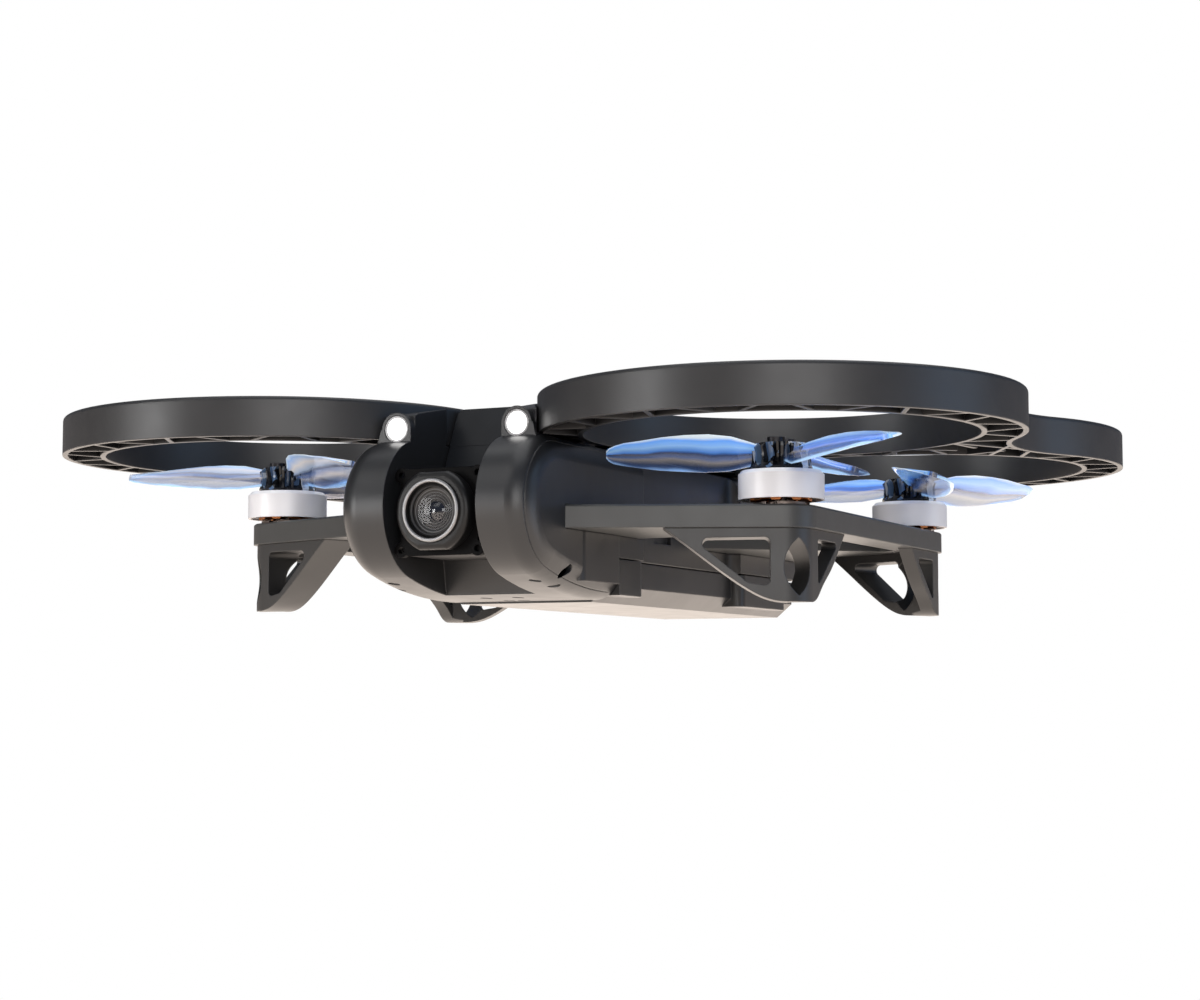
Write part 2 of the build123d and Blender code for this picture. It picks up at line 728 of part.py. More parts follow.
with BuildPart() as camera_housing:
    with BuildSketch(facing(camera_face)):
        RectangleRounded(2 * camera_half, 2 * camera_half, 2)
    extrude(amount=camera_back - camera_face)
    fillet(camera_housing.faces().sort_by(Axis.Y)[-1].edges(), radius=1.5)
    with BuildSketch(facing(camera_face + camera_wall)):
        RectangleRounded(2 * (camera_half - camera_wall), 2 * (camera_half - camera_wall), 1.2)
    extrude(amount=camera_back - camera_face, mode=Mode.SUBTRACT)
    with BuildSketch(facing(camera_face)):
        Circle(neck_r + 0.05)
    extrude(amount=4, mode=Mode.SUBTRACT)
    with Locations(Plane(origin=(0, tilt_y, tilt_z), z_dir=(1, 0, 0))):
        Cylinder(pivot_r + 0.01, 30, mode=Mode.SUBTRACT)
camera_housing.part.label = "camera_housing"
export_step(camera_housing.part, "parts/camera_housing.step")

with BuildPart() as camera_bracket:
    with BuildSketch(facing(camera_face - bracket_thick)):
        RectangleRounded(2 * camera_half, 2 * camera_half, 2.4)
        with GridLocations(2 * ear_x, 2 * ear_z, 2, 2):
            Circle(1.6)
            Circle(0.75, mode=Mode.SUBTRACT)
        Circle(neck_r + 0.05, mode=Mode.SUBTRACT)
    extrude(amount=bracket_thick)
camera_bracket.part.label = "camera_bracket"
export_step(camera_bracket.part, "parts/camera_bracket.step")

bezel_back = camera_face - bracket_thick
bezel_front = lens_front + 0.7
bezel_bore_r = 5.7

with BuildPart() as lens_barrel:
    with BuildSketch(facing(bezel_front)) as bezel_outline:
        Circle(barrel_r)
        Rectangle(2 * barrel_r, 2 * barrel_flat, mode=Mode.INTERSECT)
    extrude(amount=bezel_back - bezel_front)
    fillet(lens_barrel.faces().sort_by(Axis.Y)[0].edges(), radius=1.2)
    with BuildSketch(facing(bezel_back)):
        Circle(neck_r)
    extrude(amount=barrel_back - bezel_back)
    with BuildSketch(facing(bezel_front)):
        Circle(bezel_bore_r)
    extrude(amount=4.2, mode=Mode.SUBTRACT)
    with BuildSketch(facing(bezel_front)):
        Circle(6.76)
    extrude(amount=1.0, mode=Mode.SUBTRACT)
    with BuildSketch(facing(bezel_front)):
        Circle(3.0)
    extrude(amount=30, mode=Mode.SUBTRACT)
lens_barrel.part.label = "lens_barrel"
export_step(lens_barrel.part, "parts/lens_barrel.step")

with BuildPart() as lens_ring:
    with BuildSketch(facing(lens_front)):
        Circle(6.74)
        Circle(5.9, mode=Mode.SUBTRACT)
    extrude(amount=1.68)
    fillet(lens_ring.faces().sort_by(Axis.Y)[0].edges(), radius=0.3)
lens_ring.part.label = "lens_ring"
export_step(lens_ring.part, "parts/lens_ring.step")

dome_half = 4.6
dome_r = 7.1
dome_turn = asin(dome_half / dome_r)

with BuildPart() as lens_glass:
    # half section of the domed front element, revolved about the optical axis
    with BuildSketch(Plane(origin=(0, bezel_front + 2.6, tilt_z), x_dir=(1, 0, 0), z_dir=(0, 0, 1))):
        with BuildLine():
            dome = CenterArc((0, dome_r * cos(dome_turn)), dome_r, 270, degrees(dome_turn))
            Polyline(
                dome @ 0,
                (0, 1.5),
                (bezel_bore_r - 0.02, 1.5),
                (bezel_bore_r - 0.02, 0),
                dome @ 1,
            )
        make_face()
    revolve(axis=Axis((0, 0, tilt_z), (0, 1, 0)))
lens_glass.part.label = "lens_glass"
export_step(lens_glass.part, "parts/lens_glass.step")

with BuildPart() as camera_board:
    with BuildSketch(facing(-67.5)):
        RectangleRounded(15.8, 15.8, 1)
    extrude(amount=1.2)
    with BuildSketch(facing(-69.5)):
        Rectangle(8, 8)
    extrude(amount=2.1)
camera_board.part.label = "camera_board"
export_step(camera_board.part, "parts/camera_board.step")

with BuildPart() as camera_pivots:
    for side in (1, -1):
        with Locations(Plane(origin=(side * (camera_half - 1.1), tilt_y, tilt_z), z_dir=(side, 0, 0))):
            Cylinder(pivot_r, slot_half - camera_half + shell + 1.3, align=up)
        with Locations(Plane(origin=(side * (slot_half + shell + 0.2), tilt_y, tilt_z), z_dir=(side, 0, 0))):
            Cylinder(2.4, 1.2, align=up)
camera_pivots.part.label = "camera_pivots"
export_step(camera_pivots.part, "parts/camera_pivots.step")


# ---- motors: fixed parts -------------------------------------------------------------------------

tooth_count = 9
core_bottom = 22.6
core_top = 26.3
coil_margin = 0.9  # how far a coil stands beyond the laminated core
tube_r = 2.6
tube_top = 27.0

with BuildPart() as base_master:
    with BuildSketch(Plane.XY.offset(arm_top)):
        Circle(6.1)
        with PolarLocations(5.6, 4, start_angle=0):
            Circle(1.3, mode=Mode.SUBTRACT)
    extrude(amount=base_top - arm_top)
    with Locations((0, 0, arm_top)):
        Cylinder(tube_r, tube_top - arm_top, align=up)
    with Locations((0, 0, arm_top + 0.8)):
        Cylinder(bearing_r + 0.01, 10, align=up, mode=Mode.SUBTRACT)
    with Locations(Plane.XY.offset(base_top)):
        with PolarLocations(motor_hole_r, 4, start_angle=45):
            Hole(tapped_r)

with BuildPart() as motor_bases:
    with Locations(*[(x, y, 0) for x, y in motor_spots]):
        add(base_master.part)
motor_bases.part.label = "motor_bases"
export_step(motor_bases.part, "parts/motor_bases.step")

with BuildPart() as core_master:
    with BuildSketch(Plane.XY.offset(core_bottom)):
        Circle(stator_r)
        Circle(stator_r - 0.6, mode=Mode.SUBTRACT)
        with PolarLocations(stator_r - 0.3, tooth_count, start_angle=20):
            Rectangle(2, 1.1, mode=Mode.SUBTRACT)
        with PolarLocations(5.2, tooth_count):
            Rectangle(3.6, 1.0)
        Circle(3.7)
        Circle(tube_r + 0.03, mode=Mode.SUBTRACT)
    extrude(amount=core_top - core_bottom)

with BuildPart() as stator_cores:
    with Locations(*[(x, y, 0) for x, y in motor_spots]):
        add(core_master.part)
stator_cores.part.label = "stator_cores"
export_step(stator_cores.part, "parts/stator_cores.step")

with BuildPart() as coil:
    with Locations((5.4, 0, core_bottom - coil_margin)):
        Box(2.4, 2.3, core_top - core_bottom + 2 * coil_margin, align=up)
    fillet(coil.edges().filter_by(Axis.X), radius=0.5)
    with Locations((5.4, 0, core_bottom - 0.03)):
        Box(4, 1.06, core_top - core_bottom + 0.06, align=up, mode=Mode.SUBTRACT)

with BuildPart() as winding_master:
    with PolarLocations(0, tooth_count):
        add(coil.part)

with BuildPart() as stator_windings:
    with Locations(*[(x, y, 0) for x, y in motor_spots]):
        add(winding_master.part)
stator_windings.part.label = "stator_windings"
export_step(stator_windings.part, "parts/stator_windings.step")

with BuildPart() as motor_bearings:
    for bearing_z in (arm_top + 1.0, tube_top - 1.8):
        with Locations(*[(x, y, bearing_z) for x, y in motor_spots]):
            Cylinder(bearing_r, 1.6, align=up)
            Cylinder(shaft_r + 0.03, 1.6, align=up, mode=Mode.SUBTRACT)
motor_bearings.part.label = "motor_bearings"
export_step(motor_bearings.part, "parts/motor_bearings.step")


# ---- rotors: bell, magnets, shaft and propeller ------------------------------------------------

bell_roof = 1.0
magnet_count = 12
magnet_r = bell_r - bell_wall - 0.02
magnet_thick = 0.9
shaft_bottom = arm_top + 0.9
shaft_top = 33.2

with BuildPart() as bell_master:
    with BuildSketch(Plane.XZ):
        with BuildLine():
            Polyline(
                (bell_r - bell_wall, bell_bottom),
                (bell_r, bell_bottom),
                (bell_r, bell_top - 0.8),
                (bell_r - 0.8, bell_top),
                (shaft_r + 0.01, bell_top),
                (shaft_r + 0.01, bell_top - bell_roof),
                (bell_r - bell_wall, bell_top - bell_roof),
                close=True,
            )
        make_face()
    revolve(axis=Axis.Z)
    with Locations(Plane.XY.offset(bell_top)):
        with PolarLocations(5.9, 6, start_angle=30):
            Hole(1.5, depth=2)
        with PolarLocations(prop_hole_r, 2):
            Hole(tapped_r, depth=2)

with BuildPart() as magnet_master:
    with BuildSketch(Plane.XY.offset(bell_bottom + 0.4)):
        Circle(magnet_r)
        Circle(magnet_r - magnet_thick, mode=Mode.SUBTRACT)
        with PolarLocations(magnet_r, magnet_count):
            Rectangle(4, 0.7, mode=Mode.SUBTRACT)
    extrude(amount=4.4)

with BuildPart() as shaft_master:
    with Locations((0, 0, shaft_bottom)):
        Cylinder(shaft_r, shaft_top - shaft_bottom, align=up)
    chamfer(shaft_master.edges().sort_by(Axis.Z)[-1], length=0.2)

# radius, chord, pitch angle and rise of each blade section
blade_sections = [
    (4.5, 6.0, 38, 0.0),
    (10.0, 11.0, 33, 0.2),
    (17.0, 14.6, 27, 0.3),
    (25.0, 15.2, 22, 0.2),
    (32.0, 13.6, 18, 0.1),
    (36.2, 9.8, 15, 0.0),
    (prop_tip_r, 4.0, 14, 0.0),
]

# angle at which each rotor has come to rest
rest_turns = {"front_right": 85, "front_left": 25, "rear_right": 115, "rear_left": 40}

with BuildPart() as blade:
    for radius, chord, pitch, rise in blade_sections:
        with BuildSketch(Plane(origin=(radius, 0, blade_z + rise), x_dir=(0, 1, 0), z_dir=(1, 0, 0))):
            SlotOverall(chord, blade_thick, rotation=pitch)
    loft()

with BuildPart() as propeller_master:
    with Locations((0, 0, bell_top)):
        Cylinder(prop_hub_r, prop_hub_top - bell_top, align=up)
    chamfer(propeller_master.faces().sort_by(Axis.Z)[-1].edges(), length=1.2)
    with PolarLocations(0, blade_count):
        add(blade.part)
    with Locations(Plane.XY.offset(prop_hub_top)):
        Hole(shaft_r + 0.03, depth=prop_hub_top - bell_top)
        with PolarLocations(prop_hole_r, 2):
            Hole(clear_r, depth=prop_hub_top - bell_top)

with BuildPart() as prop_screw_master:
    with PolarLocations(prop_hole_r, 2):
        with Locations((0, 0, bell_top - bell_roof)):
            Cylinder(screw_r, prop_hub_top - bell_top + bell_roof, align=up)
        with Locations((0, 0, prop_hub_top)):
            Cylinder(head_r, head_high, align=up)
    # hexagon sockets
    with BuildSketch(Plane.XY.offset(prop_hub_top + 0.5)):
        with PolarLocations(prop_hole_r, 2):
            RegularPolygon(0.75, 6)
    extrude(amount=2, mode=Mode.SUBTRACT)

for corner, (side, end) in corners.items():
    spot = Location((side * motor_x, end * motor_y, 0), (0, 0, rest_turns[corner]))

    with BuildPart() as motor_bell:
        with Locations(spot):
            add(bell_master.part)
    motor_bell.part.label = f"motor_bell_{corner}"
    export_step(motor_bell.part, f"parts/motor_bell_{corner}.step")

    with BuildPart() as rotor_magnets:
        with Locations(spot):
            add(magnet_master.part)
    rotor_magnets.part.label = f"rotor_magnets_{corner}"
    export_step(rotor_magnets.part, f"parts/rotor_magnets_{corner}.step")

    with BuildPart() as motor_shaft:
        with Locations(spot):
            add(shaft_master.part)
    motor_shaft.part.label = f"motor_shaft_{corner}"
    export_step(motor_shaft.part, f"parts/motor_shaft_{corner}.step")

    # diagonal pairs turn the same way, neighbours turn against each other
    with BuildPart() as turned_propeller:
        add(propeller_master.part)
        if side == end:
            mirror(about=Plane.YZ, mode=Mode.REPLACE)
    with BuildPart() as propeller:
        with Locations(spot):
            add(turned_propeller.part)
    propeller.part.label = f"propeller_{corner}"
    export_step(propeller.part, f"parts/propeller_{corner}.step")

    with BuildPart() as prop_screws:
        with Locations(spot):
            add(prop_screw_master.part)
    prop_screws.part.label = f"prop_screws_{corner}"
    export_step(prop_screws.part, f"parts/prop_screws_{corner}.step")


# ---- battery, sliding out towards the tail ---------------------------------------------------------

pack_edge = 4.5  # height where the sides turn in towards the flat bottom
flat_half = 16.5
pack_core_front = pack_front + 2
pack_core_tail = 66.0
pack_end_depth = 7.5
latch_y = 67.0
latch_z = 7.2
latch_half = 3.0

with BuildPart() as battery_case:
    # lower part under the seam, with sloping edges
    with BuildSketch(Plane(origin=(0, pack_front, 0), x_dir=(-1, 0, 0), z_dir=(0, 1, 0))):
        with BuildLine():
            Polyline(
                (flat_half, 1.0),
                (waist_half, pack_edge),
                (waist_half, pack_seam),
                (-waist_half, pack_seam),
                (-waist_half, pack_edge),
                (-flat_half, 1.0),
                close=True,
            )
        make_face()
    extrude(amount=pack_tail - pack_front)
    fillet(battery_case.faces().sort_by(Axis.Y)[-1].edges(), radius=2)
    # side blocks in line with the wide parts of the fuselage
    with Locations((0, (pack_front - waist_end) / 2, 2.4)):
        with GridLocations(2 * block_x, 1, 2, 1):
            Box(block_width, -waist_end - pack_front, pack_seam - 2.4, align=up)
    with Locations((0, 46, 2.4)):
        with GridLocations(2 * block_x, 1, 2, 1):
            Box(block_width, 32, pack_seam - 2.4, align=up)
    fillet(
        battery_case.edges()
        .filter_by(Axis.Z)
        .filter_by(lambda edge: abs(edge.center().X) > body_half and edge.center().Y > pack_front + 1),
        radius=2.5,
    )
    # upper part inside the bay
    with Locations((0, (pack_core_front + pack_core_tail) / 2, pack_seam)):
        Box(2 * pack_half, pack_core_tail - pack_core_front, pack_lid_z - pack_seam, align=up)
    # end block that closes the bay at the tail
    with Locations((0, pack_core_tail + 0.5, pack_seam)):
        Box(2 * pack_half, pack_end_depth, pack_top - pack_seam, align=(Align.CENTER, Align.MIN, Align.MIN))
    # room for the cells
    with Locations((0, (pack_core_front + pack_core_tail) / 2, 2.6)):
        Box(2 * flat_half + 1.6, pack_core_tail - pack_core_front - 5, 20, align=up, mode=Mode.SUBTRACT)
    # pockets for the two latches
    for side in (1, -1):
        with Locations((side * waist_half, latch_y, latch_z)):
            Box(6.4, 2 * latch_half + 0.3, 5.3, mode=Mode.SUBTRACT)
battery_case.part.label = "battery_case"
export_step(battery_case.part, "parts/battery_case.step")

with BuildPart() as battery_lid:
    with Locations((0, (pack_core_front + pack_core_tail) / 2, pack_lid_z)):
        Box(2 * pack_half, pack_core_tail - pack_core_front, pack_top - pack_lid_z, align=up)
    fillet(battery_lid.edges().filter_by(Axis.Z), radius=1)
    # contact windows at the front
    with Locations((0, pack_front + 8, pack_lid_z)):
        with GridLocations(4, 1, 5, 1):
            Box(1.6, 6, 5, align=up, mode=Mode.SUBTRACT)
battery_lid.part.label = "battery_lid"
export_step(battery_lid.part, "parts/battery_lid.step")

with BuildPart() as battery_cells:
    with Locations((0, 13, 2.8)):
        with GridLocations(17.2, 1, 2, 1):
            Box(16.6, 94, 10.6, align=up)
    fillet(battery_cells.edges().filter_by(Axis.Y), radius=1.5)
battery_cells.part.label = "battery_cells"
export_step(battery_cells.part, "parts/battery_cells.step")

with BuildPart() as battery_latch_right:
    with Locations((waist_half - 0.45, latch_y, latch_z)):
        Box(1.5, 2 * latch_half, 5)
    # grip ridges
    with Locations((waist_half + 0.35, latch_y, latch_z)):
        with GridLocations(1, 1.4, 1, 4):
            Box(0.5, 0.5, 4, mode=Mode.SUBTRACT)
battery_latch_right.part.label = "battery_latch_right"
export_step(battery_latch_right.part, "parts/battery_latch_right.step")

with BuildPart() as battery_latch_left:
    mirror(battery_latch_right.part, about=Plane.YZ)
battery_latch_left.part.label = "battery_latch_left"
export_step(battery_latch_left.part, "parts/battery_latch_left.step")


# ---- fasteners -------------------------------------------------------------------------------------


def sunk_screw(length):
    """A countersunk M2 screw, head face at the origin and shank along +Z."""
    with BuildPart() as screw:
        Cone(head_r - 0.05, screw_r, head_r - 0.05 - screw_r, align=up)
        Cylinder(screw_r, length, align=up)
        with BuildSketch(Plane.XY):
            RegularPolygon(0.75, 6)
        extrude(amount=0.7, mode=Mode.SUBTRACT)
    return screw


motor_screw_length = base_top - arm_bottom
frame_screw_length = chassis_top + 5.6 - arm_bottom
leg_screw_length = arm_thick + leg_thread - 0.2
guard_screw_length = 14.0

with BuildPart() as motor_screws:
    with Locations(*[(x, y, arm_bottom) for x, y in motor_spots]):
        with PolarLocations(motor_hole_r, 4, start_angle=45):
            add(sunk_screw(motor_screw_length).part)
motor_screws.part.label = "motor_screws"
export_step(motor_screws.part, "parts/motor_screws.step")

with BuildPart() as frame_screws:
    with Locations(*[(side * post_x, y, arm_bottom) for side in (1, -1) for y in post_ys]):
        add(sunk_screw(frame_screw_length).part)
frame_screws.part.label = "frame_screws"
export_step(frame_screws.part, "parts/frame_screws.step")

with BuildPart() as leg_screws:
    for side, end in corners.values():
        for x, y in leg_screw_spots:
            with Locations(Location((side * x, -end * y, arm_top), (180, 0, 0))):
                add(sunk_screw(leg_screw_length).part)
leg_screws.part.label = "leg_screws"
export_step(leg_screws.part, "parts/leg_screws.step")

with BuildPart() as guard_screws:
    with Locations(*[(x, y, guard_top - head_high - 0.2) for x, y in guard_post_spots]):
        Cylinder(head_r, head_high, align=up)
        Cylinder(screw_r, guard_screw_length - head_high, align=(Align.CENTER, Align.CENTER, Align.MAX))
    with BuildSketch(Plane.XY.offset(guard_top - 0.2)):
        with Locations(*guard_post_spots):
            RegularPolygon(0.75, 6)
    extrude(amount=-0.7, mode=Mode.SUBTRACT)
guard_screws.part.label = "guard_screws"
export_step(guard_screws.part, "parts/guard_screws.step")
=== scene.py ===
import math

import bmesh
import bpy
from mathutils import Matrix, Vector


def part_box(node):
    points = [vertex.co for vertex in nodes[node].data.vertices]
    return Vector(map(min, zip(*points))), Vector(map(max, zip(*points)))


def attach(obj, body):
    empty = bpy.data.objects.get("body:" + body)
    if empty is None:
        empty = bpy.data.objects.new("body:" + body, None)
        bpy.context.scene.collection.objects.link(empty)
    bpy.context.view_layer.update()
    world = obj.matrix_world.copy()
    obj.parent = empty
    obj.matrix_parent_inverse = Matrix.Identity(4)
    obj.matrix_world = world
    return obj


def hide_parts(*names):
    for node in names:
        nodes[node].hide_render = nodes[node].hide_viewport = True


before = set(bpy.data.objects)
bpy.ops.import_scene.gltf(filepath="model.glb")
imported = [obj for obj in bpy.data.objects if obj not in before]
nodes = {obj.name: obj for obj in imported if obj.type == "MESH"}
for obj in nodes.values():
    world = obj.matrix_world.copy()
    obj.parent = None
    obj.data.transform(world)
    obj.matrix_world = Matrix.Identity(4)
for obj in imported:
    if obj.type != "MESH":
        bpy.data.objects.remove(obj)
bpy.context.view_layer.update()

CORNERS = ("front_right", "front_left", "rear_right", "rear_left")
MM = 0.001

# ---- materials ---------------------------------------------------------------------------


class Shader:
    """A node material with a Principled base, built up one feature at a time."""

    def __init__(self, name, **settings):
        self.material = bpy.data.materials.new(name)
        self.material.use_nodes = True
        self.tree = self.material.node_tree
        self.base = self.tree.nodes["Principled BSDF"]
        for key, value in settings.items():
            self.base.inputs[key.replace("_", " ")].default_value = value
        self.place = self.tree.nodes.new("ShaderNodeTexCoord").outputs["Object"]

    def node(self, kind, inputs=(), **settings):
        made = self.tree.nodes.new("ShaderNode" + kind)
        for key, value in settings.items():
            setattr(made, key, value)
        for slot, value in dict(inputs).items():
            if hasattr(value, "is_output"):
                self.tree.links.new(value, made.inputs[slot])
            else:
                made.inputs[slot].default_value = value
        return made

    def noise(self, scale, detail=3.0, stretch=None):
        place = self.place
        if stretch:
            place = self.node("Mapping", {"Vector": place, "Scale": stretch}).outputs["Vector"]
        made = self.node("TexNoise", {"Vector": place, "Scale": scale, "Detail": detail})
        return made.outputs["Fac"]

    def spread(self, value, low, high, span=(0.3, 0.7)):
        """Maps a value that runs over span to the range from low to high."""
        ends = {"From Min": span[0], "From Max": span[1], "To Min": low, "To Max": high}
        return self.node("MapRange", {"Value": value, **ends}).outputs["Result"]

    def mix(self, share, first, second):
        """Blends two colours; in a Mix node the colours are inputs 6 and 7 and output 2."""
        return self.node("Mix", {0: share, 6: first, 7: second}, data_type="RGBA").outputs[2]

    def plug(self, value, slot):
        self.tree.links.new(value, self.base.inputs[slot])

    def relief(self, height, strength, depth, normal=None):
        """Bumps the surface by a height pattern, up to depth."""
        bump = self.node("Bump", {"Height": height, "Strength": strength, "Distance": depth})
        if normal:
            self.tree.links.new(normal, bump.inputs["Normal"])
        self.plug(bump.outputs["Normal"], "Normal")


def rgb(value, share=1.0):
    return (value[0] * share, value[1] * share, value[2] * share, 1.0)


def fill_ramp(ramp_node, stops):
    """Sets a colour ramp's stops, each a place and a colour."""
    elements = ramp_node.color_ramp.elements
    while len(elements) < len(stops):
        elements.new(0.5)
    for element, (at, colour) in zip(elements, stops):
        element.position = at
        element.color = rgb(colour)


def painted_edge_highlight(shader, radius):
    """Rounded normal and a weight for a painted highlight along the edges."""
    round_normal = shader.node("Bevel", {"Radius": radius}, samples=4).outputs["Normal"]
    flat_normal = shader.node("NewGeometry").outputs["Normal"]
    dot = shader.node("VectorMath", {0: round_normal, 1: flat_normal}, operation="DOT_PRODUCT")
    highlight_weight = shader.spread(dot.outputs["Value"], 1.0, 0.0, (0.86, 0.995))
    return round_normal, highlight_weight


def plastic(name, colour, rough, edge=1.8, grain=0.008, radius=0.35 * MM, spec=0.5):
    """Moulded plastic: fine grain, uneven sheen, rounded edges lightened as a painted highlight."""
    made = Shader(name, Specular_IOR_Level=spec)
    normal, highlight_weight = painted_edge_highlight(made, radius)
    cloud = made.noise(45.0)
    tone = made.mix(made.spread(cloud, 0.0, 1.0), rgb(colour, 0.85), rgb(colour, 1.15))
    # Painted highlight: the edges are lightened by the factor edge.
    made.plug(made.mix(highlight_weight, tone, rgb(colour, edge)), "Base Color")
    made.plug(made.spread(made.noise(160.0, 3.0), rough - 0.02, rough + 0.03), "Roughness")
    made.relief(made.noise(1800.0, 2.0), grain, 0.1 * MM, normal)
    return made.material


def metal(name, colour, rough, stretch=(1.0, 1.0, 1.0), grain=0.03):
    """Metal with turning or brushing marks, and a painted highlight along the edges."""
    made = Shader(name, Metallic=1.0)
    normal, highlight_weight = painted_edge_highlight(made, 0.15 * MM)
    marks = made.noise(900.0, 4.0, stretch)
    tone = made.mix(made.spread(marks, 0.0, 1.0), rgb(colour, 0.88), rgb(colour, 1.08))
    # Painted highlight: the edges are lightened to 1.25 times the colour.
    made.plug(made.mix(highlight_weight, tone, rgb(colour, 1.25)), "Base Color")
    made.plug(made.spread(marks, rough - 0.06, rough + 0.08), "Roughness")
    made.relief(marks, grain, 0.05 * MM, normal)
    return made.material


def board(name, colour):
    """Circuit board: solder mask with copper tracks showing through."""
    made = Shader(name)
    cells = made.node("TexVoronoi", {"Vector": made.place, "Scale": 700.0}, distance="MANHATTAN")
    tracks = made.spread(cells.outputs["Distance"], 1.0, 0.0, (0.2, 0.3))
    made.plug(made.mix(tracks, rgb(colour), rgb(colour, 2.2)), "Base Color")
    made.plug(made.spread(made.noise(400.0), 0.25, 0.45), "Roughness")
    made.relief(tracks, 0.2, 0.05 * MM)
    return made.material


def glowing(name, colour, strength):
    """A lit diffuser with a faintly uneven glow."""
    made = Shader(name, Roughness=0.3, Emission_Strength=strength)
    glow = made.spread(made.noise(500.0), 0.0, 1.0)
    made.plug(made.mix(glow, rgb(colour, 0.92), rgb(colour)), "Emission Color")
    made.plug(made.mix(glow, rgb(colour, 0.9), rgb(colour)), "Base Color")
    return made.material


def blade_with_painted_sheen(name, upper, high, brow):
    """Clear moulded blade with painted reflections: long blue and pale streaks of painted sheen,
    painted highlights at the edges, and the same colours given off as a painted glow.
    """
    made = Shader(name, Roughness=0.05, Coat_Weight=0.6, Coat_Roughness=0.03, Emission_Strength=0.5)
    across = made.node("Attribute", attribute_name="across").outputs["Fac"]
    wave = made.spread(made.noise(55.0, 2.0), -0.09, 0.09)
    shifted = made.node("Math", {0: across, 1: wave}, operation="ADD").outputs[0]
    colours = made.node("ValToRGB", {"Fac": shifted})
    shares = made.node("ValToRGB", {"Fac": shifted})
    # Each colour is a painted reflection; the first and last are painted highlights at the edges.
    stops = (  # place across the blade, colour, share of solid colour
        (0.00, (0.45, 0.70, 1.00), 0.9),
        (0.06, (0.06, 0.12, 0.30), 0.45),
        (0.20, (0.04, 0.06, 0.12), 0.35),
        (0.33, (0.50, 0.46, 0.44), 0.45),
        (0.42, (0.08, 0.16, 0.42), 0.6),
        (0.52, (0.02, 0.03, 0.07), 0.6),
        (0.60, upper, 0.85),
        (0.76, high, 0.85),
        (0.92, brow, 0.8),
        (1.00, (0.80, 0.92, 1.00), 0.95),
    )
    fill_ramp(colours, [(at, colour) for at, colour, share in stops])
    fill_ramp(shares, [(at, (share, share, share)) for at, colour, share in stops])
    made.plug(colours.outputs["Color"], "Base Color")
    # Painted glow: the streak colours are given off as light.
    made.plug(colours.outputs["Color"], "Emission Color")
    made.plug(shares.outputs["Color"], "Alpha")
    return made.material


def faceted(name):
    """Clear hub full of ribs: dark, with painted glints of blue and white on small facets."""
    made = Shader(name, Roughness=0.08, Specular_IOR_Level=0.35)
    place = made.node("Mapping", {"Vector": made.place, "Scale": (1.0, 1.0, 0.35)})
    cells = made.node("TexVoronoi", {"Vector": place.outputs["Vector"], "Scale": 620.0})
    pick = made.node("SeparateXYZ", {0: cells.outputs["Color"]})
    blue_glint = made.spread(pick.outputs["X"], 0.0, 1.0, (0.60, 0.78))
    tone = made.mix(blue_glint, (0.006, 0.007, 0.010, 1), (0.10, 0.17, 0.30, 1))
    bright = made.spread(pick.outputs["Y"], 0.0, 1.0, (0.80, 0.92))
    # Painted glints: some cells are lightened to near white.
    made.plug(made.mix(bright, tone, (0.72, 0.78, 0.86, 1)), "Base Color")
    made.plug(made.spread(pick.outputs["Z"], 0.04, 0.3, (0.0, 1.0)), "Roughness")
    made.relief(cells.outputs["Distance"], 0.6, 0.4 * MM)
    return made.material


def ribbed(name, centre, pitch):
    """Black ring with fine turned ridges round the lens's axis, the ridges painted grey as a painted
    highlight.
    """
    made = Shader(name, Roughness=0.35)
    apart = made.node("VectorMath", {0: made.place, 1: centre}, operation="SUBTRACT")
    flat = made.node("VectorMath", {0: apart.outputs[0], 1: (1, 0, 1)}, operation="MULTIPLY")
    reach = made.node("VectorMath", {0: flat.outputs[0]}, operation="LENGTH").outputs["Value"]
    phase = made.node("Math", {0: reach, 1: math.tau / pitch}, operation="MULTIPLY").outputs[0]
    ridge_and_highlight = made.spread(made.node("Math", {0: phase}, operation="SINE").outputs[0], 0, 1, (0.3, 0.9))
    # Painted highlight: the ridges are grey on the black.
    made.plug(made.mix(ridge_and_highlight, (0.003, 0.003, 0.0035, 1), (0.10, 0.10, 0.103, 1)), "Base Color")
    made.relief(ridge_and_highlight, 0.35, 0.2 * MM)
    return made.material


def coated(name, alpha):
    """Coated lens glass: dark and clear, with a faint violet-green sheen and a painted reflection that
    lightens it at glancing angles.
    """
    made = Shader(name, Roughness=0.02, Alpha=alpha, Coat_Weight=1.0, Coat_Roughness=0.0)
    rim = made.node("LayerWeight", {"Blend": 0.5}).outputs["Facing"]
    cloud = made.spread(made.noise(200.0), 0.0, 1.0)
    tint = made.mix(cloud, (0.012, 0.014, 0.03, 1), (0.014, 0.022, 0.02, 1))
    # Painted reflection: glancing parts of the glass are lightened.
    made.plug(made.mix(rim, tint, (0.03, 0.03, 0.05, 1)), "Base Color")
    return made.material


